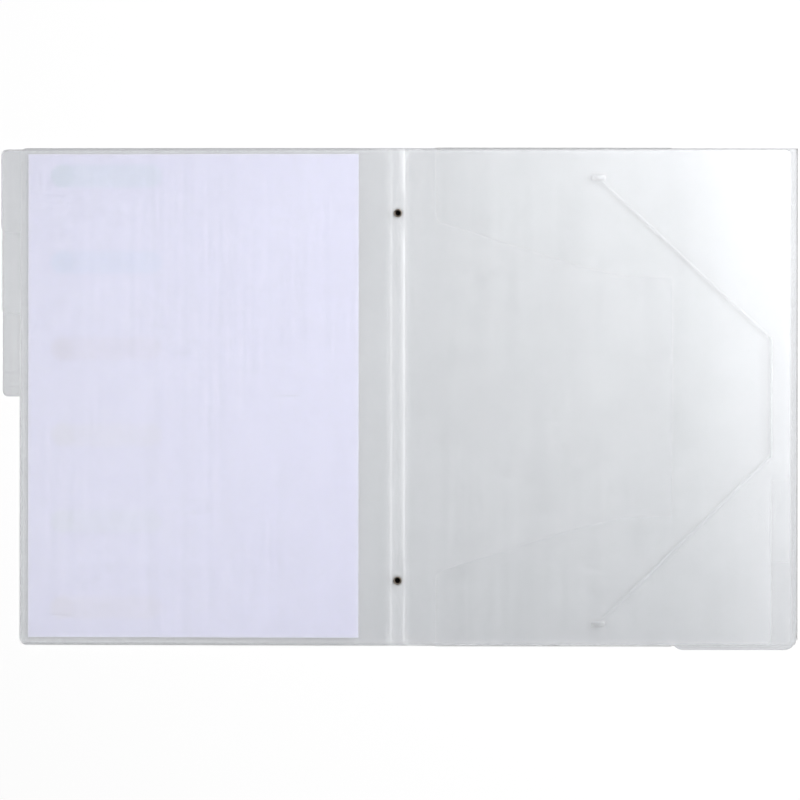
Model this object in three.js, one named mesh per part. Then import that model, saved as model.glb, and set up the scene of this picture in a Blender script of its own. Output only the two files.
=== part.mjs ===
// A document sorter folder of polypropylene sheet, lying open and flat on its back.
// Millimetres, +Z up, +X towards the back cover's fore edge, +Y towards the top edge.
// One creased cover carries three nested divider sheets, riveted together in the spine.
// The back cover has three flaps, folded behind it here, and an elastic threaded through it.
import * as THREE from "three";

// Driving dimensions
const coverHeight = 320;
const frontCoverWidth = 236.4;
const coverThickness = 0.8;
const coverCorner = 3.5;
const frontDividerWidth = 238;
const backDividerWidth = 235.3;
const dividerThickness = 0.4;
const dividerCorner = 3.5;
const tabDepth = 12;
const innerCreaseHalfSpacing = 4.4;
const creaseBandWidth = 2;
const sheetThickness = 0.15;
const sheetWidth = 213;
const sheetHeight = 311;
const sheetFromCrease = 18.5;
const sheetRise = 0.6;
const edgeFlapDepth = 80;
const edgeFlapOverhang = 3;
const edgeFlapCorner = 8;
const sideFlapRootDepth = 47;
const sideFlapWaistDepth = 76;
const sideFlapDepth = 83;
const sideFlapWaistAlong = 93;
const sideFlapFullAlong = 124;
const sideFlapFromCrease = 17.5;
const sideFlapCorner = 6;
const elasticDiameter = 1.8;
const elasticEdgeInset = 17;
const elasticHalfSpan = 38;
const elasticAnchorInset = 128;
const topAnchorInset = 19;
const bottomAnchorInset = 14;
const clipLength = 9;
const clipWidth = 3.4;
const clipThickness = 0.8;
const clipCorner = 0.85;
const rivetInset = 42;
const rivetFlangeDiameter = 5.2;
const rivetBarrelDiameter = 4.1;
const rivetWall = 0.3;
const rivetFlangeThickness = 0.3;
const washerDiameter = 8;
const washerThickness = 0.4;

// Clearances
const layerGap = 0.2;
const sheetPocketGap = 0.45;
const dividerEndInset = 1;
const tabToGussetGap = 0.25;
const creaseGap = 0.1;
const gussetCreaseGap = 0.2;
const flapGap = 0.3;
const neighbourFlapGap = 0.6;
const elasticInsideGap = 0.1;
const elasticOutsideGap = 0.3;
const elasticHoleClearance = 0.35;
const cordEndGap = 0.3;
const rivetHoleClearance = 0.1;

// How finely round stretches are drawn
const cornerSteps = 8;
const rivetSides = 32;
const bendSteps = 5;
const runSteps = 5;

// The divider sheets that are nested in the spine, from the cover up: each makes two dividers
const dividerSheets = ["outer", "middle", "inner"];
const dividerCount = 2 * dividerSheets.length;

// Levels, counted from the middle of the cover's thickness at the spine
const halfCover = coverThickness / 2;
const halfDivider = dividerThickness / 2;
const layerPitch = dividerThickness + layerGap;
const outerLevel = halfCover + sheetPocketGap + halfDivider;
const innerLevel = outerLevel + (dividerSheets.length - 1) * layerPitch;
const elasticRadius = elasticDiameter / 2;
const elasticInsideLevel = halfCover + elasticInsideGap + elasticRadius;
const elasticOutsideLevel = -halfCover - elasticOutsideGap - elasticRadius;
const elasticBend = (elasticInsideLevel - elasticOutsideLevel) / 2;

// Crease lines, counted outwards from the middle of the spine
const outerCrease = innerCreaseHalfSpacing + (dividerSheets.length - 1) * layerPitch;
const coverCrease = outerCrease + outerLevel;
const frontTabEdge = frontDividerWidth + tabDepth;
const backTabEdge = backDividerWidth + tabDepth;

// With the cover closed, its inner divider reaches out further by the level of its crease
const foreEdge = coverCrease + innerLevel + backTabEdge + tabToGussetGap + halfCover;
const elasticX = foreEdge - elasticEdgeInset;
const anchorX = foreEdge - elasticAnchorInset;
const dividerHeight = coverHeight - 2 * dividerEndInset;

// How far each sheet stops short of its crease line, so that it clears its neighbour there
const coverRelief = halfCover + creaseGap;
const dividerRelief = halfDivider + creaseGap;
const gussetRelief = halfCover + gussetCreaseGap;

// The back dividers lean just enough to pass over the elastic inside the cover
const leanRise = elasticInsideLevel + elasticRadius + layerGap + halfDivider - outerLevel;
const backLean = Math.asin(leanRise / (elasticX - elasticRadius - outerCrease));

// The gussets are as deep as the flaps need to fold over the back dividers
const stackRise = backTabEdge * Math.sin(backLean);
const gussetDepth = innerLevel + stackRise + halfDivider + flapGap + halfCover;
const coverLevel = halfCover + gussetDepth;

// The front cover leans down until its outer edge meets the table
const frontLean = Math.asin(coverLevel / Math.hypot(frontCoverWidth, halfCover))
  - Math.atan2(halfCover, frontCoverWidth);

const coverPlastic = { color: 0xd5dbda, roughness: 0.42, metalness: 0 };
const dividerPlastic = { color: 0xdde2e1, roughness: 0.45, metalness: 0 };
const paper = { color: 0xe2e0f0, roughness: 0.8, metalness: 0 };
const elasticYarn = { color: 0x8f9292, roughness: 0.85, metalness: 0 };
const darkNickel = { color: 0x6f665c, roughness: 0.35, metalness: 1 };
const brightSteel = { color: 0xb9bcbe, roughness: 0.35, metalness: 1 };

const folder = new THREE.Group();

// A closed outline from corners [x, y, radius], each corner rounded by its own radius
function outline(corners) {
  const shape = new THREE.Shape();
  corners.forEach(([x, y, radius = 0], i) => {
    const here = new THREE.Vector2(x, y);
    const before = new THREE.Vector2(...corners.at(i - 1).slice(0, 2));
    const after = new THREE.Vector2(...corners[(i + 1) % corners.length].slice(0, 2));
    const start = here.clone().add(before.sub(here).setLength(radius));
    const end = here.clone().add(after.sub(here).setLength(radius));
    if (i === 0) {
      shape.moveTo(start.x, start.y);
    } else {
      shape.lineTo(start.x, start.y);
    }
    if (radius > 0) {
      shape.quadraticCurveTo(x, y, end.x, end.y);
    }
  });
  shape.closePath();
  return shape;
}

function roundHole(x, y, radius) {
  return new THREE.Path().absarc(x, y, radius, 0, 2 * Math.PI, true);
}

// A flat sheet of the outline, with the middle of its thickness at z = 0
function sheetOf(shape, thickness) {
  const geometry = new THREE.ExtrudeGeometry(shape, {
    depth: thickness,
    bevelEnabled: false,
    curveSegments: cornerSteps,
  });
  return geometry.translate(0, 0, -thickness / 2);
}

function addMesh(parent, name, geometry, finish) {
  const mesh = new THREE.Mesh(geometry, new THREE.MeshStandardMaterial(finish));
  mesh.name = name;
  parent.add(mesh);
  return mesh;
}

// A group at a crease line beside the spine, raised by a lean; side is -1 front, +1 back
function creaseGroup(side, crease, level, lean) {
  const group = new THREE.Group();
  group.position.set(side * crease, 0, coverLevel + level);
  group.rotation.y = -side * lean;
  folder.add(group);
  return group;
}

const rivetPlaces = [coverHeight / 2 - rivetInset, rivetInset - coverHeight / 2];

// A strip that lies in the spine between two creases, with holes for the rivets
function spineStrip(crease, relief, height, thickness) {
  const halfWidth = crease - relief;
  const strip = outline([
    [-halfWidth, -height / 2],
    [halfWidth, -height / 2],
    [halfWidth, height / 2],
    [-halfWidth, height / 2],
  ]);
  for (const y of rivetPlaces) {
    strip.holes.push(roundHole(0, y, rivetBarrelDiameter / 2 + rivetHoleClearance));
  }
  return sheetOf(strip, thickness);
}

// Spine: the cover's own strip, with the three bindings of the divider sheets above it
function buildSpine() {
  const strip = spineStrip(coverCrease, coverRelief, coverHeight, coverThickness);
  addMesh(folder, "spine_strip", strip, coverPlastic).position.z = coverLevel;
  dividerSheets.forEach((place, layer) => {
    const crease = outerCrease - layer * layerPitch;
    const binding = spineStrip(crease, dividerRelief, dividerHeight, dividerThickness);
    const mesh = addMesh(folder, `${place}_sheet_binding`, binding, dividerPlastic);
    mesh.position.z = coverLevel + outerLevel + layer * layerPitch;
  });
}

// A semi-tubular rivet: a flange on the inner binding, a blind barrel and a rolled foot
function rivet() {
  const top = innerLevel + halfDivider + rivetFlangeThickness;
  const foot = -halfCover - washerThickness;
  const bottom = foot - rivetFlangeThickness;
  const flange = rivetFlangeDiameter / 2;
  const barrel = rivetBarrelDiameter / 2;
  const bore = barrel - rivetWall;
  const profile = [
    [0, bottom],
    [flange - rivetFlangeThickness / 2, bottom],
    [flange, bottom + rivetFlangeThickness / 2],
    [flange - rivetFlangeThickness / 2, foot],
    [barrel, foot],
    [barrel, top - rivetFlangeThickness],
    [flange, top - rivetFlangeThickness],
    [flange, top - rivetFlangeThickness / 2],
    [flange - rivetFlangeThickness, top],
    [bore + rivetFlangeThickness / 2, top],
    [bore, top - rivetFlangeThickness],
    [bore, bottom + rivetWall],
    [0, bottom + rivetWall],
  ];
  return latheAlongZ(profile);
}

// A solid of revolution about Z from [radius, height] points
function latheAlongZ(profile) {
  const points = profile.map(([radius, height]) => new THREE.Vector2(radius, height));
  return new THREE.LatheGeometry(points, rivetSides).rotateX(Math.PI / 2);
}

function washer() {
  const hole = rivetBarrelDiameter / 2 + rivetHoleClearance;
  const rim = washerDiameter / 2;
  const profile = [
    [hole, 0],
    [rim, 0],
    [rim, washerThickness],
    [hole, washerThickness],
    [hole, 0],
  ];
  return latheAlongZ(profile);
}

function buildRivets() {
  ["top", "bottom"].forEach((end, i) => {
    const shank = addMesh(folder, `${end}_rivet`, rivet(), darkNickel);
    shank.position.set(0, rivetPlaces[i], coverLevel);
    const ring = addMesh(folder, `${end}_rivet_washer`, washer(), darkNickel);
    ring.position.set(0, rivetPlaces[i], coverLevel - halfCover - washerThickness);
  });
}

// Front cover, with the printed index sheet lying loose on its inside
function buildFrontCover() {
  const group = creaseGroup(-1, coverCrease, 0, -frontLean);
  const cover = outline([
    [-coverRelief, -coverHeight / 2],
    [-coverRelief, coverHeight / 2],
    [-frontCoverWidth, coverHeight / 2, coverCorner],
    [-frontCoverWidth, -coverHeight / 2, coverCorner],
  ]);
  addMesh(group, "front_cover", sheetOf(cover, coverThickness), coverPlastic);
  const sheetInner = -sheetFromCrease;
  const sheetOuter = sheetInner - sheetWidth;
  const index = outline([
    [sheetInner, sheetRise - sheetHeight / 2],
    [sheetInner, sheetRise + sheetHeight / 2],
    [sheetOuter, sheetRise + sheetHeight / 2],
    [sheetOuter, sheetRise - sheetHeight / 2],
  ]);
  const sheet = addMesh(group, "index_sheet", sheetOf(index, sheetThickness), paper);
  sheet.position.z = halfCover + sheetPocketGap / 2;
}

// A divider's outline beyond its crease band, its tab running down from the top edge
function dividerOutline(side, tabShare) {
  const top = dividerHeight / 2;
  const near = creaseBandWidth + dividerRelief;
  const bodyEdge = side < 0 ? frontDividerWidth : backDividerWidth;
  const tabEdge = side < 0 ? frontTabEdge : backTabEdge;
  const corners = [
    [near, top],
    [near, -top],
  ];
  if (tabShare < 1) {
    const tabEnd = top - tabShare * dividerHeight;
    corners.push(
      [bodyEdge, -top, dividerCorner],
      [bodyEdge, tabEnd],
      [tabEdge, tabEnd, dividerCorner],
    );
  } else {
    corners.push([tabEdge, -top, dividerCorner]);
  }
  corners.push([tabEdge, top, dividerCorner]);
  return outline(corners.map(([x, y, radius]) => [side * x, y, radius]));
}

// The scored band between a binding and its divider, which lets the divider fold up
function creaseBand(side) {
  const near = dividerRelief;
  const far = creaseBandWidth - dividerRelief;
  const half = dividerHeight / 2;
  const band = outline([
    [side * near, -half],
    [side * far, -half],
    [side * far, half],
    [side * near, half],
  ]);
  return sheetOf(band, dividerThickness);
}

// Dividers 1 to 3 lie on the front cover and 4 to 6 on the back: 1 and 6 are the outer sheet,
// 2 and 5 the middle one, 3 and 4 the inner one. Each tab ends a sixth lower than the last.
function buildDividers() {
  for (let number = 1; number <= dividerCount; number += 1) {
    const side = number <= dividerCount / 2 ? -1 : 1;
    const layer = side < 0 ? number - 1 : dividerCount - number;
    const crease = outerCrease - layer * layerPitch;
    const level = outerLevel + layer * layerPitch;
    const lean = side < 0 ? -frontLean : backLean;
    const group = creaseGroup(side, crease, level, lean);
    const page = sheetOf(dividerOutline(side, number / dividerCount), dividerThickness);
    addMesh(group, `divider_${number}_crease_band`, creaseBand(side), dividerPlastic);
    addMesh(group, `divider_${number}`, page, dividerPlastic);
  }
}

// Where the elastic goes through the back cover, in the order of its route
const elasticHoles = [
  new THREE.Vector2(anchorX, coverHeight / 2 - topAnchorInset),
  new THREE.Vector2(elasticX, elasticHalfSpan),
  new THREE.Vector2(elasticX, -elasticHalfSpan),
  new THREE.Vector2(anchorX, bottomAnchorInset - coverHeight / 2),
];

function buildBackCover() {
  const group = creaseGroup(1, coverCrease, 0, 0);
  const width = foreEdge - coverCrease;
  const cover = outline([
    [coverRelief, -coverHeight / 2],
    [width - coverRelief, -coverHeight / 2],
    [width - coverRelief, coverHeight / 2],
    [coverRelief, coverHeight / 2],
  ]);
  for (const hole of elasticHoles) {
    cover.holes.push(roundHole(hole.x - coverCrease, hole.y, elasticRadius + elasticHoleClearance));
  }
  addMesh(group, "back_cover", sheetOf(cover, coverThickness), coverPlastic);
}

// A gusset stands below the cover's edge and joins it to a flap, with a crease at each end
function gusset(length) {
  const height = gussetDepth - 2 * gussetRelief;
  return new THREE.BoxGeometry(length, coverThickness, height);
}

// The flap along the fore edge, a little taller than the cover and hanging past its bottom
function buildForeEdgeFlap() {
  const wall = addMesh(folder, "fore_edge_gusset", gusset(coverHeight), coverPlastic);
  wall.rotation.z = Math.PI / 2;
  wall.position.set(foreEdge, 0, coverLevel - gussetDepth / 2);
  const top = coverHeight / 2;
  const bottom = -coverHeight / 2 - edgeFlapOverhang;
  const outer = -gussetRelief;
  const flap = outline([
    [outer, bottom, edgeFlapCorner],
    [outer, top],
    [-edgeFlapDepth, top],
    [-edgeFlapDepth, bottom, edgeFlapCorner],
  ]);
  const mesh = addMesh(folder, "fore_edge_flap", sheetOf(flap, coverThickness), coverPlastic);
  mesh.position.set(foreEdge, 0, halfCover);
}

// The top and bottom flaps grow deeper from the spine and stop beside the fore edge flap
function buildSideFlap(end, side) {
  const start = coverCrease + sideFlapFromCrease;
  const stop = foreEdge - edgeFlapDepth - neighbourFlapGap;
  const length = stop - start;
  const edge = side * coverHeight / 2;
  const wall = addMesh(folder, `${end}_gusset`, gusset(length), coverPlastic);
  wall.position.set(start + length / 2, edge, coverLevel - gussetDepth / 2);
  const flap = outline([
    [0, -side * gussetRelief],
    [length, -side * gussetRelief],
    [length, -side * sideFlapDepth],
    [sideFlapFullAlong, -side * sideFlapDepth],
    [sideFlapWaistAlong, -side * sideFlapWaistDepth],
    [0, -side * sideFlapRootDepth, sideFlapCorner],
  ]);
  const mesh = addMesh(folder, `${end}_flap`, sheetOf(flap, coverThickness), coverPlastic);
  mesh.position.set(start, edge, halfCover);
}

// A route through chosen stations, for a tube with short steps in its bends only
class StationCurve extends THREE.Curve {
  constructor(stations) {
    super();
    this.stations = stations;
  }

  getPoint(share, target = new THREE.Vector3()) {
    const place = share * (this.stations.length - 1);
    const index = Math.min(Math.floor(place), this.stations.length - 2);
    return target.lerpVectors(this.stations[index], this.stations[index + 1], place - index);
  }

  getPointAt(share, target) {
    return this.getPoint(share, target);
  }

  getTangentAt(share, target = new THREE.Vector3()) {
    const last = this.stations.length - 1;
    const index = Math.round(share * last);
    const before = this.stations[Math.max(index - 1, 0)];
    const after = this.stations[Math.min(index + 1, last)];
    return target.subVectors(after, before).normalize();
  }
}

// Stations of a quarter bend at a hole, between level along a heading and upright in the hole
function quarterBend(hole, heading, level, upright, leaving) {
  const stations = [];
  for (let i = 0; i <= bendSteps; i += 1) {
    const angle = (i / bendSteps) * Math.PI / 2;
    const out = elasticBend * (1 - Math.cos(angle));
    const rise = elasticBend * Math.sin(angle);
    stations.push(new THREE.Vector3(
      hole.x + heading.x * out,
      hole.y + heading.y * out,
      upright + Math.sign(level - upright) * rise,
    ));
  }
  return leaving ? stations : stations.reverse();
}

// The elastic: from the top clip out through the cover, slanting to the fore edge, in and
// down along it, out again and slanting back to the bottom clip
function elasticRoute() {
  const [topAnchor, upper, lower, bottomAnchor] = elasticHoles;
  const heading = (from, to) => to.clone().sub(from).normalize();
  const holeLevel = elasticInsideLevel - elasticBend;
  const stations = [new THREE.Vector3(topAnchor.x, topAnchor.y, halfCover - cordEndGap)];
  const legs = [
    [topAnchor, upper, elasticOutsideLevel],
    [upper, lower, elasticInsideLevel],
    [lower, bottomAnchor, elasticOutsideLevel],
  ];
  for (const [from, to, level] of legs) {
    const away = quarterBend(from, heading(from, to), level, holeLevel, true);
    const back = quarterBend(to, heading(to, from), level, holeLevel, false);
    const repeated = stations.length > 1 ? 1 : 0;
    stations.push(...away.slice(repeated));
    for (let i = 1; i < runSteps; i += 1) {
      stations.push(away.at(-1).clone().lerp(back[0], i / runSteps));
    }
    stations.push(...back);
  }
  stations.push(new THREE.Vector3(bottomAnchor.x, bottomAnchor.y, halfCover - cordEndGap));
  return stations;
}

function buildElastic() {
  const stations = elasticRoute();
  const section = new THREE.Shape().absarc(0, 0, elasticRadius, 0, 2 * Math.PI);
  const cord = new THREE.ExtrudeGeometry(section, {
    steps: stations.length - 1,
    curveSegments: cornerSteps,
    extrudePath: new StationCurve(stations),
    bevelEnabled: false,
  });
  addMesh(folder, "elastic_cord", cord, elasticYarn).position.z = coverLevel;
  const clip = outline([
    [-clipLength / 2, -clipWidth / 2, clipCorner],
    [clipLength / 2, -clipWidth / 2, clipCorner],
    [clipLength / 2, clipWidth / 2, clipCorner],
    [-clipLength / 2, clipWidth / 2, clipCorner],
  ]);
  const anchors = { top: elasticHoles[0], bottom: elasticHoles.at(-1) };
  for (const [end, hole] of Object.entries(anchors)) {
    const mesh = addMesh(folder, `elastic_${end}_clip`, sheetOf(clip, clipThickness), brightSteel);
    mesh.position.set(hole.x, hole.y, coverLevel + halfCover + clipThickness / 2);
  }
}

buildSpine();
buildRivets();
buildFrontCover();
buildDividers();
buildBackCover();
buildForeEdgeFlap();
buildSideFlap("top", 1);
buildSideFlap("bottom", -1);
buildElastic();

// The origin is below the middle of the open folder, on the table
const bounds = new THREE.Box3().setFromObject(folder);
const middle = bounds.getCenter(new THREE.Vector3());
folder.position.set(-middle.x, -middle.y, -bounds.min.z);

export default folder;
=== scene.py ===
"""A document sorter folder of frosted polypropylene, lying open and flat on its back.

The file follows the folder as it is put together: the camera, the spine, the covers, the
dividers from the cover up, the index sheet, the flaps, the elastic and its clips, and last
the table and the lamps. Everything is in metres in the folder's own frame.
"""

import math

import bpy
import numpy as np
from mathutils.geometry import delaunay_2d_cdt
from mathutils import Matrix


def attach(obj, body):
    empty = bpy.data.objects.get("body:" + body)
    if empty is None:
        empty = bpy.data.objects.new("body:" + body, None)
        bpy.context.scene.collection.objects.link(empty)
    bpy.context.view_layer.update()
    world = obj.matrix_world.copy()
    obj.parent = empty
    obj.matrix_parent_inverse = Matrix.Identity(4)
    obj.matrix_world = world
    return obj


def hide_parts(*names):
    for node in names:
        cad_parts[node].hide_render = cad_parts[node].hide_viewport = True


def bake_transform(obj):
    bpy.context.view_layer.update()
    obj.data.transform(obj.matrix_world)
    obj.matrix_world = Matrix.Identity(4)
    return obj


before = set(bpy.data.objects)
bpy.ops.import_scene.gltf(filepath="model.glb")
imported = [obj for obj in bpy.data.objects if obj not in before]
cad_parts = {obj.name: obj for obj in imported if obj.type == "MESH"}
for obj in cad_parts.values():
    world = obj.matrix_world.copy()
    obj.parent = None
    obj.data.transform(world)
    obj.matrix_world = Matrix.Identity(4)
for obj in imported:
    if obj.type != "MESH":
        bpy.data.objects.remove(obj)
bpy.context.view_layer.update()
scene = bpy.context.scene
scene.view_settings.view_transform = "Standard"
scene.cycles.transparent_max_bounces = 48

# Camera
# It hangs straight above the open folder, far enough away that the sheets show no taper.
# The whole folder fills the width of the picture, with its right edge just inside the frame.
camera = bpy.data.objects.new("camera", bpy.data.cameras.new("camera"))
scene.collection.objects.link(camera)
scene.camera = camera
camera_height = 2.0
camera_middle = (0.00061, -0.00071)
camera_turn = math.radians(0.06)
sheets_level = 0.006
# the photograph is 800 pixels wide, and has 1556 of them to the metre on the sheets
picture_width, pixels_to_metre = 800, 1556
camera.data.sensor_width = 36
camera.data.lens = 36 * (camera_height - sheets_level) / (picture_width / pixels_to_metre)
camera.location = (*camera_middle, camera_height)
camera.rotation_euler = (0, 0, camera_turn)
camera.data.clip_start = 0.05
camera.data.clip_end = 20


# Spine strip of the cover
# The strip between the cover's two creases, of frosted polypropylene sheet 0.8 mm thick.
# It is one piece with both covers. Two rivets go through it and hold the divider sheets.
# the frame starts under the middle of the whole open folder, tabs and overhang included
spine_middle = -0.00085
folder_middle = 0.0013
cover_level = 0.0052986
cover_thickness = 0.0008
cover_half_height = 0.160
cover_crease = 0.00665
rivet_places = (0.118, -0.118)
# rings of points inside a cut edge, and how far from it the plain grid starts
edge_rings = (0.0008, 0.0014, 0.0022, 0.0032)
hole_rings = 0.0014
grid_margin = 0.0045
# rows of points beside a crease, how wide it is whitened, and what still counts as its edge
crease_rows = (-0.0011, -0.0008, -0.0005, -0.00025, 0, 0.00025, 0.0005, 0.0008, 0.0011)
crease_step, crease_row_end = 0.008, 0.003
white_reach = 0.0008
crease_reach = 0.0016


def corner_points(corners, i, steps):
    """Points round corner i of (x, y, radius) corners, or only its own point if it is sharp."""
    here, radius = np.array(corners[i][:2]), corners[i][2]
    if not radius:
        return [here]
    before = np.array(corners[i - 1][:2]) - here
    after = np.array(corners[(i + 1) % len(corners)][:2]) - here
    start = here + before / np.linalg.norm(before) * radius
    end = here + after / np.linalg.norm(after) * radius
    return [(1 - t) ** 2 * start + 2 * t * (1 - t) * here + t * t * end
            for t in np.linspace(0, 1, steps)]


def rounded_outline(corners, longest=0.012):
    """Points round a cut outline of (x, y, radius) corners, counter-clockwise, with long
    straight cuts divided so that the sheet can bend and bow."""
    points = [point for i in range(len(corners)) for point in corner_points(corners, i, 9)]
    divided = []
    for i, point in enumerate(points):
        after = points[(i + 1) % len(points)]
        steps = max(1, math.ceil(np.linalg.norm(after - point) / longest))
        divided += [point + (after - point) * k / steps for k in range(steps)]
    return np.array(divided)


def inset(loop, distance):
    """The loop moved by a distance towards its left, which is into the sheet."""
    ahead = np.roll(loop, -1, 0) - loop
    ahead /= np.linalg.norm(ahead, axis=1)[:, None]
    normal = np.stack((-ahead[:, 1], ahead[:, 0]), 1)
    other = np.roll(normal, 1, 0)
    share = 1 + (normal * other).sum(1)
    return loop + distance * (normal + other) / share[:, None]


def distance_to(points, starts, ends):
    """How far each point lies from the nearest of the cuts."""
    along = ends - starts
    length = np.maximum((along ** 2).sum(1), 1e-18)
    best = np.full(len(points), 1.0)
    for start, step, square in zip(starts, along, length):
        t = np.clip(((points - start) @ step) / square, 0, 1)
        best = np.minimum(best, np.linalg.norm(points - (start + t[:, None] * step), axis=1))
    return best


def cut_sheet(name, outline, holes, thickness, lay, crease_at=(), goes_on=None, grid=0.012, seed=0,
              whitened=0.3, strained=0.0):
    """A sheet with softly broken edges from its outline and round holes (x, y, radius). lay
    puts the flat (x, y, height) into the folder. crease_at lists the lines x where the cut
    is a crease and no free edge, and where the plastic is whitened by that share. strained
    is the share all over. goes_on tells of points whether they lie on a line where the
    sheet goes on in the next piece."""
    turn = thickness * 0.32
    loops = [outline]
    for x, y, radius in holes:
        angles = np.linspace(0, -2 * math.pi, 33)[:-1]
        loops.append(np.stack((x + radius * np.cos(angles), y + radius * np.sin(angles)), 1))
    starts = np.concatenate(loops)
    ends = np.concatenate([np.roll(loop, -1, 0) for loop in loops])
    points, edges = [], []
    for loop in loops:
        widest = edge_rings[-1] if loop is outline else hole_rings
        for ring in (0, turn * 0.3, turn) + edge_rings:
            if ring > widest:
                continue
            moved = inset(loop, ring)
            # a ring is left out where it would cross another one
            free = distance_to(moved, starts, ends) > ring * 0.98 - 1e-9
            order = len(points) + np.cumsum(free) - 1
            points += list(moved[free])
            edges += [(order[k - 1], order[k]) for k in range(len(loop)) if free[k] and free[k - 1]]
    low, high = outline.min(0), outline.max(0)
    spans = [np.linspace(a, b, max(2, round((b - a) / grid)) + 1)[1:-1]
             for a, b in zip(low, high)]
    inner = np.array([(x, y) for x in spans[0] for y in spans[1]]).reshape(-1, 2)
    if len(inner):
        points += list(inner[distance_to(inner, starts, ends) > grid_margin])
    for line in crease_at:
        for offset in crease_rows:
            row = np.array([(line + offset, y) for y in np.arange(
                low[1] + crease_step / 2, high[1] - crease_row_end, crease_step)])
            points += list(row[distance_to(row, starts, ends) > 0.0002])
    # worked in millimetres, because the triangulation is coarse in metres
    flat, _, faces, _, _, _ = delaunay_2d_cdt([tuple(p * 1000) for p in points], edges, [], 1, 1e-5)
    flat = np.array([tuple(p) for p in flat]) / 1000
    middles = np.array([flat[list(face)].mean(0) for face in faces])
    kept = np.ones(len(faces), bool)
    for x, y, radius in holes:
        kept &= np.linalg.norm(middles - (x, y), axis=1) > radius
    faces = [list(face) for face, keep in zip(faces, kept) if keep]
    # the edge is broken all round but for the creases, where the sheet goes on
    free = np.ones(len(starts), bool)
    crease = np.full(len(flat), strained)
    upright = np.abs(ends[:, 0] - starts[:, 0]) < 1e-6
    for line in crease_at:
        free &= ~(upright & (np.abs(starts[:, 0] - line) < crease_reach))
        away = np.clip(np.abs(flat[:, 0] - line) / white_reach, 0, 1)
        crease = np.maximum(crease, whitened - whitened * away)
    if goes_on:
        free &= ~(goes_on(starts) & goes_on(ends))
    near = distance_to(flat, starts[free], ends[free])
    rise = np.clip(near / turn, 0, 1)
    height = thickness / 2 - turn + turn * np.sqrt(1 - (1 - rise) ** 2)
    sides = [side for face in faces for side in zip(face, face[1:] + face[:1])]
    known = set(sides)
    walls = [(a, b) for a, b in sides if (b, a) not in known]
    count = len(flat)
    top = np.column_stack((flat, height))
    bottom = np.column_stack((flat, -height))
    polygons = faces + [[v + count for v in reversed(face)] for face in faces]
    polygons += [[b, a, a + count, b + count] for a, b in walls]
    both = np.concatenate((top, bottom))
    mesh = bpy.data.meshes.new(name)
    mesh.from_pydata([tuple(p) for p in lay(both)], [], polygons)
    mesh.shade_smooth()
    # how far each point lies from a free edge, in millimetres, for the painted shade and
    # painted highlight along the cuts
    for label, values in (("edge_mm", np.clip(near * 1000, 0, 3)), ("crease", crease)):
        layer = mesh.attributes.new(label, "FLOAT", "POINT")
        layer.data.foreach_set("value", np.tile(values, 2).astype(np.float32))
    # each sheet takes its pattern from another level of the noise
    place = np.column_stack((flat, np.full(len(flat), seed * 0.37)))
    layer = mesh.attributes.new("place", "FLOAT_VECTOR", "POINT")
    layer.data.foreach_set("vector", np.tile(place, (2, 1)).astype(np.float32).ravel())
    sheet = bpy.data.objects.new(name, mesh)
    scene.collection.objects.link(sheet)
    return sheet


def joined(tree, kind, inputs=None, **settings):
    """A node of that kind, with its settings, and its inputs given or joined up."""
    node = tree.nodes.new(kind)
    for key, value in settings.items():
        setattr(node, key, value)
    for key, value in (inputs or {}).items():
        if isinstance(value, bpy.types.NodeSocket):
            tree.links.new(value, node.inputs[key])
        else:
            node.inputs[key].default_value = value
    return node


def new_finish(name):
    """A material of that name, and its empty node tree."""
    material = bpy.data.materials.new(name)
    material.use_nodes = True
    material.node_tree.nodes.clear()
    return material, material.node_tree


def worked(tree, how, a, b, **settings):
    """A number worked out from two, each a socket or a value."""
    return joined(tree, "ShaderNodeMath", {0: a, 1: b}, operation=how, **settings).outputs[0]


def ramp(tree, value, low, high, start=0.0, end=1.0):
    """Runs from start to end while the value goes from low to high."""
    return joined(tree, "ShaderNodeMapRange", {
        "Value": value, "From Min": low, "From Max": high,
        "To Min": start, "To Max": end}).outputs["Result"]


def blended(tree, share, first, second):
    """The first colour with that share of the second one in it."""
    # the mix node has a pair of sockets for each kind of data, and 6 and 7 are the colours
    return joined(tree, "ShaderNodeMix", {0: share, 6: first, 7: second},
                  data_type="RGBA").outputs[2]


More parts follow.
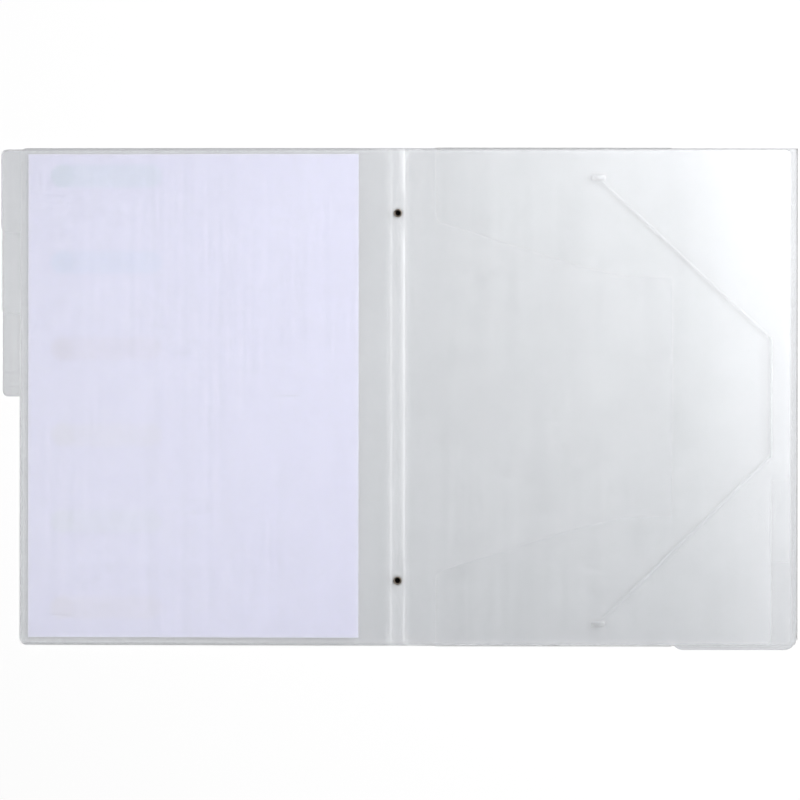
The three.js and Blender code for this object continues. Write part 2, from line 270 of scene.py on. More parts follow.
def frosted_plastic(name, body, veil, roughness):
    """Frosted polypropylene: a see-through sheet with a milky veil, fine matt grain, streaks
    from the roller along its height, light scuffs and whitened creases. Along the free cut
    edges there is a painted shade line, and just inside it a painted highlight line."""
    material, tree = new_finish(name)
    place = joined(tree, "ShaderNodeAttribute", attribute_name="place").outputs["Vector"]
    edge = joined(tree, "ShaderNodeAttribute", attribute_name="edge_mm").outputs["Fac"]
    crease = joined(tree, "ShaderNodeAttribute", attribute_name="crease").outputs["Fac"]

    def noise(scale, stretch=(1, 1, 1), detail=1.0, rough=0.5):
        spread = joined(tree, "ShaderNodeMapping", {"Vector": place, "Scale": stretch})
        return joined(tree, "ShaderNodeTexNoise", {
            "Vector": spread.outputs[0], "Scale": scale, "Detail": detail,
            "Roughness": rough}).outputs["Fac"]

    def plus(a, b, held=False):
        return worked(tree, "ADD", a, b, use_clamp=held)

    def times(a, b):
        return worked(tree, "MULTIPLY", a, b)

    streaks = noise(1, (420, 5, 1), 2)
    bands = noise(1, (95, 1.2, 1), 1)
    clouds = noise(14, detail=2)
    smudges = noise(60, detail=2, rough=0.65)
    scuffs = times(ramp(tree, noise(1, (36, 1300, 1)), 0.66, 0.72),
                   ramp(tree, noise(22), 0.52, 0.7))
    # painted shade and painted highlight along the free cut edges: cut is a darker grey line at the
    # very edge and ridge a paler line just inside it, standing in for light bent in the edge
    cut = ramp(tree, edge, 0.25, 1.1, 1, 0)
    ridge = times(ramp(tree, edge, 0.9, 1.5), ramp(tree, edge, 1.6, 2.6, 1, 0))

    dark = tuple(c * 0.93 for c in body) + (1,)
    light = tuple(min(1, c * 1.05) for c in body) + (1,)
    edge_shade_grey = tuple(c * 0.62 for c in body) + (1,)
    white = (0.91, 0.92, 0.94, 1)
    tone = plus(ramp(tree, streaks, 0.3, 0.7, 0, 0.4), ramp(tree, clouds, 0.3, 0.7, 0, 0.6))
    colour = blended(tree, tone, dark, light)
    # the painted edge shade first, then the painted edge highlight
    colour = blended(tree, times(cut, 0.25), colour, edge_shade_grey)
    colour = blended(tree, times(ridge, 0.2), colour, white)
    colour = blended(tree, times(scuffs, 0.5), colour, white)
    colour = blended(tree, times(crease, 0.8), colour, white)

    milk = plus(ramp(tree, bands, 0.3, 0.7, veil * 0.96, veil * 1.04),
                ramp(tree, streaks, 0.35, 0.65, -0.003, 0.003))
    milk = plus(milk, times(cut, 0.03))
    milk = plus(milk, times(ridge, 0.015))
    milk = plus(milk, times(scuffs, 0.08))
    milk = plus(milk, times(crease, 0.08), held=True)

    dull = plus(ramp(tree, smudges, 0.3, 0.7, roughness - 0.03, roughness + 0.04),
                ramp(tree, streaks, 0.3, 0.7, -0.03, 0.03))
    dull = plus(dull, times(scuffs, 0.15))
    # heights in metres: matt grain, roller streaks, and wide soft hollows
    relief = times(noise(1900), 0.000006)
    relief = plus(relief, times(streaks, 0.00001))
    relief = plus(relief, times(bands, 0.00005))
    relief = plus(relief, times(clouds, 0.0001))
    bump = joined(tree, "ShaderNodeBump", {"Height": relief, "Strength": 1.0, "Distance": 1.0})
    skin = joined(tree, "ShaderNodeBsdfPrincipled", {"Base Color": colour, "Roughness": dull,
                                                     "IOR": 1.49, "Normal": bump.outputs[0]})
    clear = joined(tree, "ShaderNodeBsdfTransparent", {"Color": (0.994, 0.996, 0.998, 1)})
    sheet = joined(tree, "ShaderNodeMixShader", {0: milk, 1: clear.outputs[0], 2: skin.outputs[0]})
    gleam = joined(tree, "ShaderNodeBsdfGlossy", {"Color": (1, 1, 1, 1), "Roughness": dull,
                                                  "Normal": bump.outputs[0]})
    edge_on = joined(tree, "ShaderNodeFresnel", {"IOR": 1.49, "Normal": bump.outputs[0]})
    whole = joined(tree, "ShaderNodeMixShader", {0: edge_on.outputs[0], 1: sheet.outputs[0],
                                                 2: gleam.outputs[0]})
    # lamp light is scattered forwards, so more of it soaks through than the eye sees through
    soaks = 1 - 0.3 * veil
    through = joined(tree, "ShaderNodeBsdfTransparent", {"Color": (soaks, soaks, soaks, 1)})
    lamps = joined(tree, "ShaderNodeLightPath").outputs["Is Shadow Ray"]
    final = joined(tree, "ShaderNodeMixShader", {0: lamps, 1: whole.outputs[0],
                                                 2: through.outputs[0]})
    joined(tree, "ShaderNodeOutputMaterial", {"Surface": final.outputs[0]})
    return material


cover_plastic = frosted_plastic("frosted_cover_plastic", (0.36, 0.37, 0.385), 0.16, 0.38)
rivet_hold = 0.011


def spine_lay(level, half_width, arch):
    """Lays a strip in the spine, bowed up between the rivets that pull it down."""
    def lay(flat):
        pull = np.ones(len(flat))
        for y in rivet_places:
            pull *= 1 - np.exp(-((flat[:, 1] - y) / rivet_hold) ** 2)
        bow = arch * pull * np.clip(1 - (flat[:, 0] / half_width) ** 2, 0, 1)
        return np.column_stack((flat[:, 0] + spine_middle, flat[:, 1] + folder_middle,
                                flat[:, 2] + level + bow))
    return lay


def strip_outline(half_width, half_height):
    """The outline of a strip that lies along the spine."""
    return rounded_outline([(-half_width, -half_height, 0), (half_width, -half_height, 0),
                            (half_width, half_height, 0), (-half_width, half_height, 0)], 0.006)


# the strip ends a little before the creases, and the covers start there
strip_end = 0.0005
strip_half = cover_crease - strip_end
rivet_hole = 0.00215
rivet_holes = [(0, y, rivet_hole) for y in rivet_places]
strip = cut_sheet("spine_strip_sheet", strip_outline(strip_half, cover_half_height), rivet_holes,
                  cover_thickness, spine_lay(cover_level, strip_half, 0.0),
                  crease_at=(-strip_half, strip_half), grid=0.0035, seed=1)
strip.data.materials.append(cover_plastic)
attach(strip, "spine")
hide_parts("spine_strip")


# Front cover
# The left half of the same 0.8 mm sheet, with two rounded outer corners. It leans from the
# raised spine down to the table and folds up at a scored crease.
front_lean = math.radians(-1.18738)
front_width = 0.2364
outer_corner = 0.0042
stiff_run, loose_run = 0.012, 0.07
wave_height, wave_rate, ripple_height, ripple_rate = 0.0002, 31, 0.00008, 74


def page_lay(side, crease, level, lean):
    """Lays a page that starts at its crease beside the spine, with the gentle bow that all
    the pages of one side share. It is the same all along the height, so the paper can slide."""
    def lay(flat):
        out, y, height = flat[:, 0], flat[:, 1], flat[:, 2]
        loose = np.clip((out - stiff_run) / loose_run, 0, 1)
        loose = loose * loose * (3 - 2 * loose)
        wave = wave_height * np.sin(out * wave_rate + side)
        ripple = ripple_height * np.sin(out * ripple_rate)
        up = height + (wave + ripple) * loose
        x = side * (crease + out * math.cos(lean) - up * math.sin(lean)) + spine_middle
        z = level + out * math.sin(lean) + up * math.cos(lean)
        return np.column_stack((x, y + folder_middle, z))
    return lay


def page_face(sheet, side):
    """Turns the faces of a left-hand page outwards, because it is laid as a mirrored one."""
    if side < 0:
        sheet.data.flip_normals()
    return sheet


front = cut_sheet("front_cover_sheet", rounded_outline([
    (-strip_end, -cover_half_height, 0), (front_width, -cover_half_height, outer_corner),
    (front_width, cover_half_height, outer_corner), (-strip_end, cover_half_height, 0)]), [],
    cover_thickness, page_lay(-1, cover_crease, cover_level, front_lean), crease_at=(0,), seed=2)
page_face(front, -1)
front.data.materials.append(cover_plastic)
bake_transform(front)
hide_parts("front_cover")


# Back cover
# The right half of the sheet, a little wider, so that it holds the tabs when the folder is
# shut. Four punched holes take the elastic.
fore_edge = 0.25685
cover_width = fore_edge - cover_crease
elastic_line = fore_edge - 0.017
anchor_line = fore_edge - 0.128
elastic_holes = ((anchor_line, 0.141), (elastic_line, 0.038),
                 (elastic_line, -0.038), (anchor_line, -0.146))
elastic_hole = 0.00125
side_flap_start = 0.0175
# the side flaps stop beside the fore edge flap, so that each can be opened by itself
fore_flap_depth, flap_gap = 0.080, 0.0006
side_flap_stop = cover_width - fore_flap_depth - flap_gap
bend = 0.0005
edge_in = cover_half_height - bend
corner_cut = 0.004
back = cut_sheet("back_cover_sheet", rounded_outline([
    (-strip_end, -cover_half_height, 0), (side_flap_start, -cover_half_height, 0),
    (side_flap_start, -edge_in, 0),
    (side_flap_stop, -edge_in, 0), (side_flap_stop, -cover_half_height, 0),
    (cover_width - bend, -cover_half_height, corner_cut),
    (cover_width - bend, cover_half_height, 0),
    (side_flap_stop, cover_half_height, 0), (side_flap_stop, edge_in, 0),
    (side_flap_start, edge_in, 0),
    (side_flap_start, cover_half_height, 0), (-strip_end, cover_half_height, 0)]),
    [(x - cover_crease, y, elastic_hole) for x, y in elastic_holes],
    cover_thickness, page_lay(1, cover_crease, cover_level, 0.0),
    crease_at=(0, cover_width - bend),
    goes_on=lambda p: np.abs(np.abs(p[:, 1]) - edge_in) < 1e-6, seed=3)
back.data.materials.append(cover_plastic)
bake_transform(back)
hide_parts("back_cover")


# Divider sheets
# Three sheets of 0.4 mm frosted polypropylene, nested in the spine. Each makes a divider on
# the left and one on the right, whose tabs step down the edges, and folds at scored bands.
divider_thickness = 0.0004
divider_half_height = 0.159
layer_pitch = 0.0006
outer_crease = 0.0056
outer_level = cover_level + 0.00105
band_width = 0.002
tab_depth = 0.012
# a binding ends a little before its crease, the band goes half way, and the fold takes a little
binding_end = 0.0003
band_end = 0.001
binding_arch = 0.0003
binding_strain = 0.16
creases_whitened = (0.2, 0.3, 1.0)
page_widths = {-1: 0.238, 1: 0.2353}
back_lean = math.radians(0.40514)
divider_plastic = frosted_plastic("frosted_divider_plastic", (0.37, 0.38, 0.395), 0.095, 0.36)


def divider_corners(side, number, start):
    """The divider's outline, with its tab from the top down to its share of the height."""
    half = divider_half_height
    body = page_widths[side]
    tab = body + tab_depth
    end = half - number / 6 * 2 * half
    corners = [(start, -half, 0)]
    if number < 6:
        corners += [(body, -half, outer_corner), (body, end, 0), (tab, end, outer_corner)]
    else:
        corners.append((tab, -half, outer_corner))
    return corners + [(tab, half, outer_corner), (start, half, 0)]


for layer, sheet_name in enumerate(("outer", "middle", "inner")):
    crease = outer_crease - layer * layer_pitch
    level = outer_level + layer * layer_pitch
    binding_half = crease - binding_end
    creased = creases_whitened[layer]
    binding = cut_sheet(f"{sheet_name}_binding_sheet",
                        strip_outline(binding_half, divider_half_height), rivet_holes,
                        divider_thickness, spine_lay(level, binding_half, binding_arch),
                        crease_at=(-binding_half, binding_half), grid=0.003, seed=4 + layer,
                        whitened=creased, strained=binding_strain)
    binding.data.materials.append(divider_plastic)
    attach(binding, "spine")
    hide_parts(f"{sheet_name}_sheet_binding")
    for side, number in ((-1, layer + 1), (1, 6 - layer)):
        lean = front_lean if side < 0 else back_lean
        half = divider_half_height
        lay = page_lay(side, crease, level, lean)
        band = cut_sheet(f"divider_{number}_fold_band", rounded_outline([
            (-binding_end, -half, 0), (band_end, -half, 0), (band_end, half, 0),
            (-binding_end, half, 0)], 0.006), [], divider_thickness, lay, crease_at=(0,),
            grid=0.0005, seed=10 + number, whitened=creased)
        page_face(band, side)
        band.data.materials.append(divider_plastic)
        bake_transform(band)
        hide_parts(f"divider_{number}_crease_band")
        page = cut_sheet(f"divider_{number}_page",
                         rounded_outline(divider_corners(side, number, band_end)), [],
                         divider_thickness, lay, crease_at=(band_width,), seed=20 + number)
        page_face(page, side)
        page.data.materials.append(divider_plastic)
        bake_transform(page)
        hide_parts(f"divider_{number}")


# Rivets and their washers
# Two semi-tubular rivets of brass plated in dark nickel hold the three divider sheets on the
# spine. Each has a rolled flange inside, a hollow shank and a foot clinched over a washer.
def turned(name, profile, material, centre, sides=64):
    """A turned piece from [radius, height] points, closed on its axis or round its bore."""
    angles = np.linspace(0, 2 * math.pi, sides, endpoint=False)
    verts, faces, rows = [], [], []
    for radius, height in profile:
        if radius == 0:
            rows.append([len(verts)] * sides)
            verts.append((0, 0, height))
        else:
            rows.append(list(range(len(verts), len(verts) + sides)))
            verts += [(radius * math.cos(a), radius * math.sin(a), height) for a in angles]
    closed = profile[0][0] != 0
    for i in range(len(rows) - (0 if closed else 1)):
        low, high = rows[i], rows[(i + 1) % len(rows)]
        for k in range(sides):
            quad = [low[k], low[(k + 1) % sides], high[(k + 1) % sides], high[k]]
            face = [v for n, v in enumerate(quad) if v not in quad[:n]]
            if len(face) > 2:
                faces.append(face)
    mesh = bpy.data.meshes.new(name)
    mesh.from_pydata(verts, [], faces)
    mesh.shade_smooth()
    mesh.materials.append(material)
    made = bpy.data.objects.new(name, mesh)
    made.location = centre
    scene.collection.objects.link(made)
    return made


def rounded_profile(corners):
    """A turned profile with its corners (radius, height, rounding) broken."""
    return [tuple(point) for i in range(len(corners)) for point in corner_points(corners, i, 5)]


def plated_metal(name, colour, worn, roughness, dirt):
    """Plated metal with fine turning marks, rubbed high spots and mottled grime."""
    material, tree = new_finish(name)
    place = joined(tree, "ShaderNodeTexCoord").outputs["Object"]
    mottle = joined(tree, "ShaderNodeTexNoise", {"Vector": place, "Scale": 900, "Detail": 3})
    mottle = mottle.outputs["Fac"]
    marks = joined(tree, "ShaderNodeMapping", {"Vector": place, "Scale": (500, 500, 9000)})
    marks = joined(tree, "ShaderNodeTexNoise", {"Vector": marks.outputs[0], "Scale": 1,
                                                "Detail": 2})
    marks = marks.outputs["Fac"]
    edges = joined(tree, "ShaderNodeNewGeometry").outputs["Pointiness"]
    base = joined(tree, "ShaderNodeValToRGB", {"Fac": mottle})
    grimy, clean = base.color_ramp.elements
    grimy.position, grimy.color = 0.35, tuple(c * dirt for c in colour) + (1,)
    clean.position, clean.color = 0.7, tuple(colour) + (1,)
    rubbed = ramp(tree, edges, 0.5, 0.6)
    tone = blended(tree, rubbed, base.outputs["Color"], tuple(worn) + (1,))
    dull = ramp(tree, mottle, 0.3, 0.7, roughness - 0.08, roughness + 0.12)
    bump = joined(tree, "ShaderNodeBump", {"Height": marks, "Strength": 0.3, "Distance": 0.00002})
    skin = joined(tree, "ShaderNodeBsdfPrincipled", {
        "Base Color": tone, "Metallic": 1.0, "Roughness": dull, "Normal": bump.outputs[0]})
    joined(tree, "ShaderNodeOutputMaterial", {"Surface": skin.outputs[0]})
    return material


dark_nickel = plated_metal("dark_nickel_plating", (0.15, 0.125, 0.105), (0.42, 0.37, 0.31),
                           0.34, 0.5)
# painted shade: the inside of the bore is painted near black, for the shade deep in the hole
bore_shade_paint = plated_metal("bore_painted_shade", (0.012, 0.010, 0.008), (0.03, 0.025, 0.02), 0.6, 0.5)
bore, shank, flange, foot, flange_thickness = 0.00175, 0.00205, 0.0026, 0.0024, 0.0003
washer_hole, washer_rim, washer_thickness = 0.00215, 0.004, 0.0004
inner_top = outer_level + 2 * layer_pitch + divider_thickness / 2
flange_top = inner_top + flange_thickness
washer_low = cover_level - cover_thickness / 2 - washer_thickness
foot_low = washer_low - flange_thickness
for end, y in zip(("top", "bottom"), rivet_places):
    centre = (spine_middle, y + folder_middle, 0)
    rivet = turned(f"{end}_rivet_body", rounded_profile([
        (0, foot_low, 0), (foot, foot_low, 0.00025), (flange, washer_low, 0.00008),
        (shank, washer_low, 0), (shank, inner_top, 0), (flange, inner_top, 0.00008),
        (flange, flange_top, 0.00024), (bore, flange_top, 0.0002), (bore, washer_low, 0.0001),
        (0, washer_low, 0)]), dark_nickel, centre)
    rivet.data.materials.append(bore_shade_paint)
    # the faces inside the bore take the painted shade
    for face in rivet.data.polygons:
        x, y, z = face.center
        inside = math.hypot(x, y) < bore + 0.00001
        if inside and washer_low - 0.0001 < z < flange_top - 0.00025:
            face.material_index = 1
    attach(rivet, "spine")
    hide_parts(f"{end}_rivet")
    ring = turned(f"{end}_washer_ring", rounded_profile([
        (washer_hole, washer_low, 0.00008), (washer_rim, washer_low, 0.00012),
        (washer_rim, washer_low + washer_thickness, 0.00012),
        (washer_hole, washer_low + washer_thickness, 0.00008)]), dark_nickel, centre)
    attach(ring, "spine")
    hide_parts(f"{end}_rivet_washer")


# Index sheet
# A loose sheet of blue-white paper between the front cover and the first divider. Six index
# bars are printed on its far side, which show through the paper faintly.
bar_top, bar_pitch, bar_start, bar_stop = 0.1420, 0.05555, 0.1525, 0.2095
bar_radius, disc_radius, ink_spread = 0.0068, 0.0070, 0.001
bar_inks = ((0.38, 0.62, 0.66), (0.46, 0.62, 0.86), (0.60, 0.52, 0.62), (0.70, 0.68, 0.70),
            (0.66, 0.72, 0.74), (0.74, 0.68, 0.72))


def index_paper(name, ink_strength):
    """Uncoated paper with fibres and cockle. The six bars of the printed side, with a disc at
    one end of each, come through with the given strength."""
    material, tree = new_finish(name)
    place = joined(tree, "ShaderNodeAttribute", attribute_name="place").outputs["Vector"]
    split = joined(tree, "ShaderNodeSeparateXYZ", {"Vector": place})
    across, along = split.outputs["X"], split.outputs["Y"]

    def printed(beside, above_squared, radius, strength):
        """How strong the ink is, within the radius of the bar's core line."""
        squares = worked(tree, "ADD", worked(tree, "MULTIPLY", beside, beside), above_squared)
        away = worked(tree, "POWER", squares, 0.5)
        return ramp(tree, away, radius, radius + ink_spread, strength, 0)

    fibres, cloud = (joined(tree, "ShaderNodeTexNoise", {
        "Vector": place, "Scale": scale, "Detail": 4}).outputs["Fac"] for scale in (1500, 160))
    mottle = joined(tree, "ShaderNodeMath", {0: fibres, 1: 0.5, 2: cloud},
                    operation="MULTIPLY_ADD").outputs[0]
    colour = joined(tree, "ShaderNodeValToRGB", {"Fac": mottle})
    shaded, pale = colour.color_ramp.elements
    shaded.position, shaded.color = 0.55, (0.69, 0.67, 0.87, 1)
    pale.position, pale.color = 0.95, (0.73, 0.715, 0.91, 1)
    colour = colour.outputs["Color"]
    # a thin paler border along the cut edge, a painted highlight for light that soaks in there
    edge = joined(tree, "ShaderNodeAttribute", attribute_name="edge_mm").outputs["Fac"]
    colour = blended(tree, ramp(tree, edge, 0.5, 1.6, 0.5, 0), colour, (0.86, 0.85, 0.97, 1))
    core = worked(tree, "MINIMUM", worked(tree, "MAXIMUM", across, bar_start), bar_stop)
    beside_bar = worked(tree, "SUBTRACT", across, core)
    beside_disc = worked(tree, "SUBTRACT", across, bar_stop)
    for row, ink in enumerate(bar_inks):
        above = worked(tree, "SUBTRACT", along, bar_top - row * bar_pitch)
        above_squared = worked(tree, "MULTIPLY", above, above)
        bar = printed(beside_bar, above_squared, bar_radius, ink_strength)
        colour = blended(tree, bar, colour, ink + (1,))
        disc = printed(beside_disc, above_squared, disc_radius, ink_strength * 0.8)
        colour = blended(tree, disc, colour, tuple(c * 0.7 for c in ink) + (1,))
    bump = joined(tree, "ShaderNodeBump", {"Height": fibres, "Strength": 0.4, "Distance": 0.00004})
    bump = joined(tree, "ShaderNodeBump", {"Height": cloud, "Strength": 0.4, "Distance": 0.0001,
                                           "Normal": bump.outputs[0]})
    dull = ramp(tree, cloud, 0.3, 0.7, 0.82, 0.94)
    skin = joined(tree, "ShaderNodeBsdfPrincipled", {
        "Base Color": colour, "Roughness": dull, "Normal": bump.outputs[0]})
    joined(tree, "ShaderNodeOutputMaterial", {"Surface": skin.outputs[0]})
    return material


paper_in, paper_out, paper_half, paper_rise = 0.0185, 0.2315, 0.1555, 0.0006
paper_thickness = 0.00015
paper_level = 0.000625
cover_lay = page_lay(-1, cover_crease, cover_level, front_lean)
paper = cut_sheet("index_paper_sheet", rounded_outline([
    (paper_in, paper_rise - paper_half, 0), (paper_out, paper_rise - paper_half, 0),
    (paper_out, paper_rise + paper_half, 0), (paper_in, paper_rise + paper_half, 0)]), [],
    paper_thickness, lambda flat: cover_lay(flat + (0, 0, paper_level)), seed=0)
page_face(paper, -1)
paper.data.materials.append(index_paper("index_paper_plain_side", 0.2))
paper.data.materials.append(index_paper("index_paper_printed_side", 0.85))
for face in paper.data.polygons:
    face.material_index = 1 if face.normal.z < -0.5 else 0
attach(paper, "index_sheet")
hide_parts("index_sheet")


# Gussets and flaps of the back cover
# One piece with the cover: each gusset is a narrow wall between two creases, and each flap
# folds from behind the cover to over the back dividers. The fore edge flap overhangs below.
table_level = cover_thickness / 2
wall_middle = (cover_level + table_level) / 2
quarter = bend * math.pi / 2
half_wall = cover_level - bend - wall_middle


def round_the_edge(flat, first):
    """Out and down from the cover's edge line: (beyond the line, level) for a distance along
    the sheet and a height above its inner face. first is for the upper half, with the bend
    at the cover, and otherwise the lower half, with the bend at the flap."""
    s, up = flat[:, 0], flat[:, 2]
    if first:
        turn = np.clip(s / bend, 0, math.pi / 2)
        down = np.maximum(s - quarter, 0)
        out = -bend + bend * np.sin(turn) + np.minimum(s, 0)
        level = cover_level - bend * (1 - np.cos(turn)) - down
    else:
        turn = math.pi / 2 + np.clip((s - half_wall) / bend, 0, math.pi / 2)
        down = np.minimum(s, half_wall)
        back_in = np.maximum(s - half_wall - quarter, 0)
        out = -bend + bend * np.sin(turn) - back_in
        level = np.where(s < half_wall, wall_middle - down,
                         table_level + bend + bend * np.cos(turn))
    return out + up * np.sin(turn), level + up * np.cos(turn)


def edge_lay(end, first):
    """Lays a gusset or flap along the fore edge, the top edge or the bottom edge."""
    def lay(flat):
        out, level = round_the_edge(flat, first)
        if end == "fore_edge":
            return np.column_stack((fore_edge + out + spine_middle,
                                    flat[:, 1] + folder_middle, level))
        side = 1 if end == "top" else -1
        return np.column_stack((cover_crease + side_flap_start + flat[:, 1] + spine_middle,
                                side * (cover_half_height + out) + folder_middle, level))
    return lay


wall_run = quarter + half_wall
bend_steps = [quarter * k / 4 for k in range(5)]
fold_in = half_wall + quarter - bend
side_length = side_flap_stop - side_flap_start
side_flap_depth, overhang, overhang_start = 0.083, 0.003, 0.0006
flap_corner, side_flap_corner, tip_corner = 0.008, 0.006, 0.0015
# the side flaps are cut back towards the spine: (depth, how far along) of the slanting cut
side_flap_near, slant_start, slant_stop = 0.047, (0.076, 0.093), 0.124
for seed, end in enumerate(("fore_edge", "top", "bottom"), 30):
    if end == "fore_edge":
        low, high = corner_cut - cover_half_height, cover_half_height
        foot = -cover_half_height - overhang
        arc = [(fold_in + overhang_start + flap_corner * t * t,
                foot + flap_corner * (1 - t) ** 2, 0) for t in np.linspace(0, 1, 11)]
        corners = [(0, low, 0)] + [(half_wall + s, low, 0) for s in bend_steps[:3]] + arc + [
            (fold_in + fore_flap_depth, foot, flap_corner),
            (fold_in + fore_flap_depth, high, tip_corner)]
        line = ((fore_edge + spine_middle, 0), (1, 0))
    else:
        low, high = 0, side_length
        corners = [(0, low, 0)] + [(half_wall + s, low, 0) for s in bend_steps] + [
            (fold_in + side_flap_near, low, side_flap_corner),
            (fold_in + slant_start[0], slant_start[1], 0),
            (fold_in + side_flap_depth, slant_stop, 0),
            (fold_in + side_flap_depth, high, tip_corner)]
        side = 1 if end == "top" else -1
        line = ((0, side * cover_half_height + folder_middle), (0, side))
    corners += [(half_wall + s, high, 0) for s in bend_steps[::-1]] + [(0, high, 0)]
    (x, y), (dx, dy) = line
    wall = cut_sheet(f"{end}_gusset_wall", rounded_outline([
        (s, low, 0) for s in bend_steps + [wall_run]] + [
        (s, high, 0) for s in [wall_run] + bend_steps[::-1]], 0.008), [],
        cover_thickness, edge_lay(end, True), crease_at=(quarter / 2,),
        goes_on=lambda p: p[:, 0] > wall_run - 1e-6, grid=0.002, seed=seed)
    flap = cut_sheet(f"{end}_flap_sheet", rounded_outline(corners, 0.008), [], cover_thickness,
                     edge_lay(end, False), crease_at=(half_wall + quarter / 2,),
                     goes_on=lambda p: p[:, 0] < 1e-6, grid=0.014, seed=seed + 5)
    for made in (wall, flap):
        if end == "top":
            made.data.flip_normals()
        made.data.materials.append(cover_plastic)
    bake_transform(wall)
    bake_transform(flap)
    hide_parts(f"{end}_gusset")
    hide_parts(f"{end}_flap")


# Elastic
# A round elastic 1.8 mm thick: a rubber core in a pale braided cover. It runs from the top
# clip out through the cover, slants to the fore edge, runs down inside it and slants back.
cord_radius = 0.0009
inside_gap, outside_gap, cord_end_level = 0.0001, 0.0003, 0.0001
inside_level = cover_thickness / 2 + inside_gap + cord_radius
outside_level = -cover_thickness / 2 - outside_gap - cord_radius
cord_step = 0.004
braid_step, braid_sides, braid_pitch, braid_relief = 0.00035, 20, 2600, 0.07
cord_bend = (inside_level - outside_level) / 2
back_lay = page_lay(1, cover_crease, cover_level, 0.0)
holes = [np.array((x - cover_crease, y)) for x, y in elastic_holes]
route = [np.array((*holes[0], cord_end_level))]
for i, level in enumerate((outside_level, inside_level, outside_level)):
    start, stop = holes[i], holes[i + 1]
    ahead = (stop - start) / np.linalg.norm(stop - start)
    sign = math.copysign(1, level)
    middle = inside_level - cord_bend
    rise = [(cord_bend * (1 - math.cos(t)), middle + sign * cord_bend * math.sin(t))
            for t in np.linspace(0, math.pi / 2, 8)]
    span = np.linalg.norm(stop - start) - 2 * cord_bend
    steps = round(span / cord_step)
    run = [(*(start + ahead * out), height) for out, height in rise]
    run += [(*(start + ahead * (cord_bend + span * k / steps)), middle + sign * cord_bend)
            for k in range(1, steps)]
    run += [(*(stop - ahead * out), height) for out, height in rise[::-1]]
    route += [np.array(p) for p in run[1 if i else 0:]]
route.append(np.array((*holes[3], cord_end_level)))
route = np.array(route)
lengths = np.concatenate(([0], np.cumsum(np.linalg.norm(np.diff(route, axis=0), axis=1))))
stations = np.arange(0, lengths[-1], braid_step)
line = np.column_stack([np.interp(stations, lengths, route[:, k]) for k in range(3)])
line = back_lay(line)
ahead = np.gradient(line, axis=0)
ahead /= np.linalg.norm(ahead, axis=1)[:, None]
# a cross direction that is carried along the cord, so that the braid doesn't twist
across = np.zeros_like(line)
carried = np.array((0.6, 0.3, 0.74))
for i, forward in enumerate(ahead):
    carried = carried - forward * (carried @ forward)
    carried /= np.linalg.norm(carried)
    across[i] = carried
third = np.cross(ahead, across)
strings = []
for k in range(braid_sides):
    angle = 2 * math.pi * k / braid_sides
    weave = np.maximum(np.abs(np.sin(4 * angle + stations * braid_pitch)),
                       np.abs(np.sin(4 * angle - stations * braid_pitch)))
    radius = cord_radius * (1 - braid_relief + braid_relief * weave)
    strings.append(line + radius[:, None] * (across * math.cos(angle) + third * math.sin(angle)))
verts = [tuple(v) for v in np.stack(strings, 1).reshape(-1, 3)]
last = (len(line) - 1) * braid_sides
faces = []
for i in range(0, last, braid_sides):
    for k in range(braid_sides):
        j = (k + 1) % braid_sides
        faces.append([i + k, i + j, i + braid_sides + j, i + braid_sides + k])
faces.append(list(range(braid_sides))[::-1])
faces.append([last + k for k in range(braid_sides)])
mesh = bpy.data.meshes.new("braided_elastic")
mesh.from_pydata(verts, [], faces)
mesh.shade_smooth()
wound = mesh.attributes.new("wound", "FLOAT_VECTOR", "POINT")
turns = np.array([(k / braid_sides, s * 1000, 0) for s in stations for k in range(braid_sides)],
                 np.float32)
wound.data.foreach_set("vector", turns.ravel())
elastic = bpy.data.objects.new("braided_elastic", mesh)
scene.collection.objects.link(elastic)


def braided_yarn(name):
    """Pale polyester yarn braided over rubber: soft sheen, slight soiling and fine fibres."""
    material, tree = new_finish(name)
    place = joined(tree, "ShaderNodeTexCoord").outputs["Object"]
    wound = joined(tree, "ShaderNodeAttribute", attribute_name="wound").outputs["Vector"]
    hairs, soil = (joined(tree, "ShaderNodeTexNoise", {
        "Vector": place, "Scale": scale, "Detail": detail}).outputs["Fac"]
        for scale, detail in ((9000, 2), (120, 3)))
    strands = joined(tree, "ShaderNodeMapping", {"Vector": wound, "Scale": (8, 0.8, 1)})
    strands = joined(tree, "ShaderNodeTexNoise", {"Vector": strands.outputs[0], "Scale": 3})
    strands = strands.outputs["Fac"]
    mix = joined(tree, "ShaderNodeMath", {0: soil, 1: 0.6, 2: strands}, operation="MULTIPLY_ADD")
    colour = joined(tree, "ShaderNodeValToRGB", {"Fac": mix.outputs[0]})
    soiled, clean = colour.color_ramp.elements
    soiled.position, soiled.color = 0.5, (0.46, 0.48, 0.49, 1)
    clean.position, clean.color = 1.0, (0.57, 0.59, 0.59, 1)
    bump = joined(tree, "ShaderNodeBump", {"Height": hairs, "Strength": 0.5, "Distance": 0.00004})
    dull = ramp(tree, strands, 0, 1, 0.8, 0.95)
    skin = joined(tree, "ShaderNodeBsdfPrincipled", {
        "Base Color": colour.outputs["Color"], "Roughness": dull, "Sheen Weight": 0.1,
        "Normal": bump.outputs[0]})
    joined(tree, "ShaderNodeOutputMaterial", {"Surface": skin.outputs[0]})
    return material


elastic.data.materials.append(braided_yarn("pale_braided_yarn"))
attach(elastic, "back_cover")
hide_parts("elastic_cord")


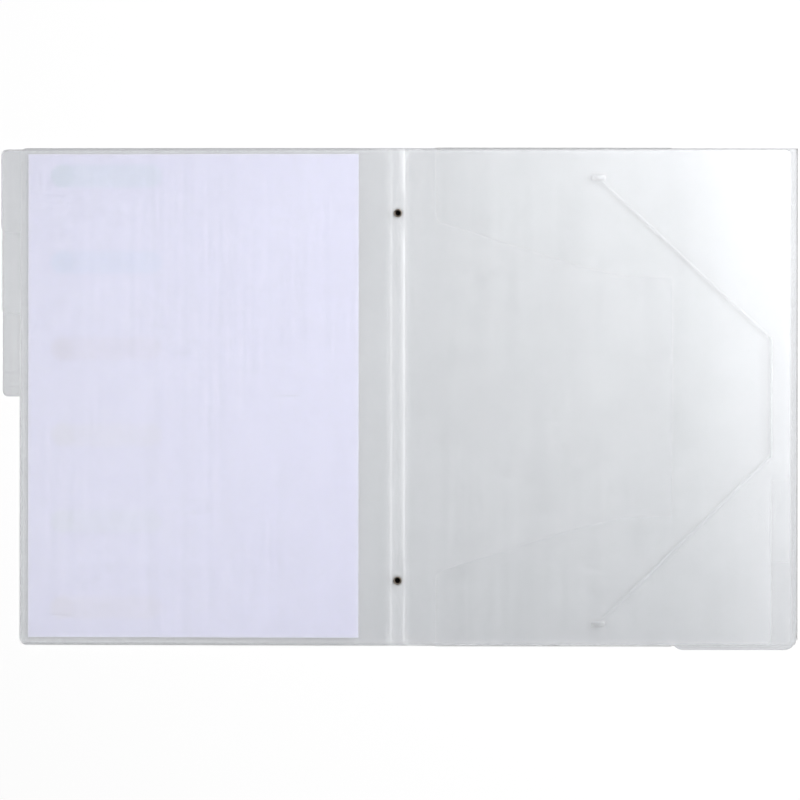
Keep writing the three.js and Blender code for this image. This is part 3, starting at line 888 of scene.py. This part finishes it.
# Clips on the elastic's ends
# A small stamped steel bar is crimped across each end of the elastic. It lies flat on the
# inside of the cover, over the hole, and can't be pulled through.
clip_steel = plated_metal("bright_steel_strip", (0.46, 0.47, 0.48), (0.64, 0.64, 0.64), 0.36, 0.78)
clip_half_length, clip_half_width = 0.0045, 0.0017
clip_thickness, clip_corner = 0.0008, 0.00085
crimp_width, crimp_drop, crimp_ridge = 0.0019, 0.35, 0.00012
for end, hole in (("top", elastic_holes[0]), ("bottom", elastic_holes[3])):
    bar = cut_sheet(f"{end}_clip_bar", rounded_outline([
        (-clip_half_length, -clip_half_width, clip_corner),
        (clip_half_length, -clip_half_width, clip_corner),
        (clip_half_length, clip_half_width, clip_corner),
        (-clip_half_length, clip_half_width, clip_corner)],
        0.0006), [], clip_thickness, lambda flat: flat, grid=0.0004, seed=40)
    for vertex in bar.data.vertices:
        x, y, z = vertex.co
        # the crimp: the bar is domed over the cord's end and sinks towards its own ends
        crimp = math.exp(-(x / crimp_width) ** 2)
        ridge = crimp_ridge * crimp * math.cos(y / clip_half_width * math.pi)
        vertex.co.z = z + clip_thickness / 2 * (1 - crimp_drop * (1 - crimp)) + ridge
        if z < 0:
            vertex.co.z = max(vertex.co.z, 0.00002)
    place = back_lay(np.array([(hole[0] - cover_crease, hole[1], cover_thickness / 2)]))[0]
    bar.location = tuple(place)
    bar.data.materials.append(clip_steel)
    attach(bar, "back_cover")
    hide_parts(f"elastic_{end}_clip")


# Table
# A plain white table top under the folder. It stays white in the picture and keeps the
# folder's soft shadow, and where it is seen through the sheets it is painted a darker grey,
# a painted shadow under the folder.
table_size, table_drop = 6, 0.0003
bpy.ops.mesh.primitive_plane_add(size=table_size, location=(0, 0, -table_drop))
table = bpy.context.object
table.name = "table_top"
white_top, tree = new_finish("white_table_with_painted_shadow")
rays = joined(tree, "ShaderNodeLightPath").outputs
seen = worked(tree, "MAXIMUM", rays["Is Camera Ray"], rays["Is Glossy Ray"])
seen = worked(tree, "MAXIMUM", seen, rays["Is Transmission Ray"])
# seen bare it is white; seen through the sheets it turns a darker grey, a painted shadow
bare = worked(tree, "LESS_THAN", rays["Transparent Depth"], 0.5)
seen = worked(tree, "MULTIPLY", seen, bare)
# most of the white shines by itself, and the rest takes the folder's shadow
share = worked(tree, "MULTIPLY", seen, 0.78)
# painted shadow: darker grey where the table is seen through the sheets, white where bare
tone = blended(tree, bare, (0.52, 0.525, 0.54, 1), (0.95, 0.95, 0.95, 1))
matt = joined(tree, "ShaderNodeBsdfDiffuse", {"Color": tone})
glow = joined(tree, "ShaderNodeEmission", {"Color": (1, 1, 1, 1), "Strength": 1.0})
both = joined(tree, "ShaderNodeMixShader", {0: share, 1: matt.outputs[0], 2: glow.outputs[0]})
joined(tree, "ShaderNodeOutputMaterial", {"Surface": both.outputs[0]})
table.data.materials.append(white_top)


# Lamps
# Two soft boxes on the right give the satin gleam that grows towards the right edge, and two
# weaker ones on the left and the pale room fill in.
box_size, box_height = 0.8, 1.35


def soft_box(name, x, y, power):
    """A square soft box above the table, turned to the middle of the folder."""
    lamp = bpy.data.lights.new(name, "AREA")
    lamp.shape = "SQUARE"
    lamp.size = box_size
    lamp.energy = power
    box = bpy.data.objects.new(name, lamp)
    box.location = (x, y, box_height)
    box.rotation_mode = "QUATERNION"
    box.rotation_quaternion = box.location.to_track_quat("Z", "Y")
    scene.collection.objects.link(box)


soft_box("right_back_soft_box", 0.49, 0.69, 9.9)
soft_box("right_soft_box", 0.9, 0.15, 16.3)
soft_box("left_soft_box", -0.42, 0.03, 3.4)
soft_box("left_front_soft_box", -0.85, -0.5, 1.6)
room = bpy.data.worlds.new("pale_room")
scene.world = room
room.use_nodes = True
tree = room.node_tree
tree.nodes.clear()
rays = joined(tree, "ShaderNodeLightPath").outputs
dim = joined(tree, "ShaderNodeBackground", {"Color": (1, 1, 1, 1), "Strength": 0.15})
white = joined(tree, "ShaderNodeBackground", {"Color": (1, 1, 1, 1), "Strength": 1.0})
seen = worked(tree, "MAXIMUM", rays["Is Camera Ray"], rays["Is Transmission Ray"])
both = joined(tree, "ShaderNodeMixShader", {0: seen, 1: dim.outputs[0], 2: white.outputs[0]})
joined(tree, "ShaderNodeOutputWorld", {"Surface": both.outputs[0]})
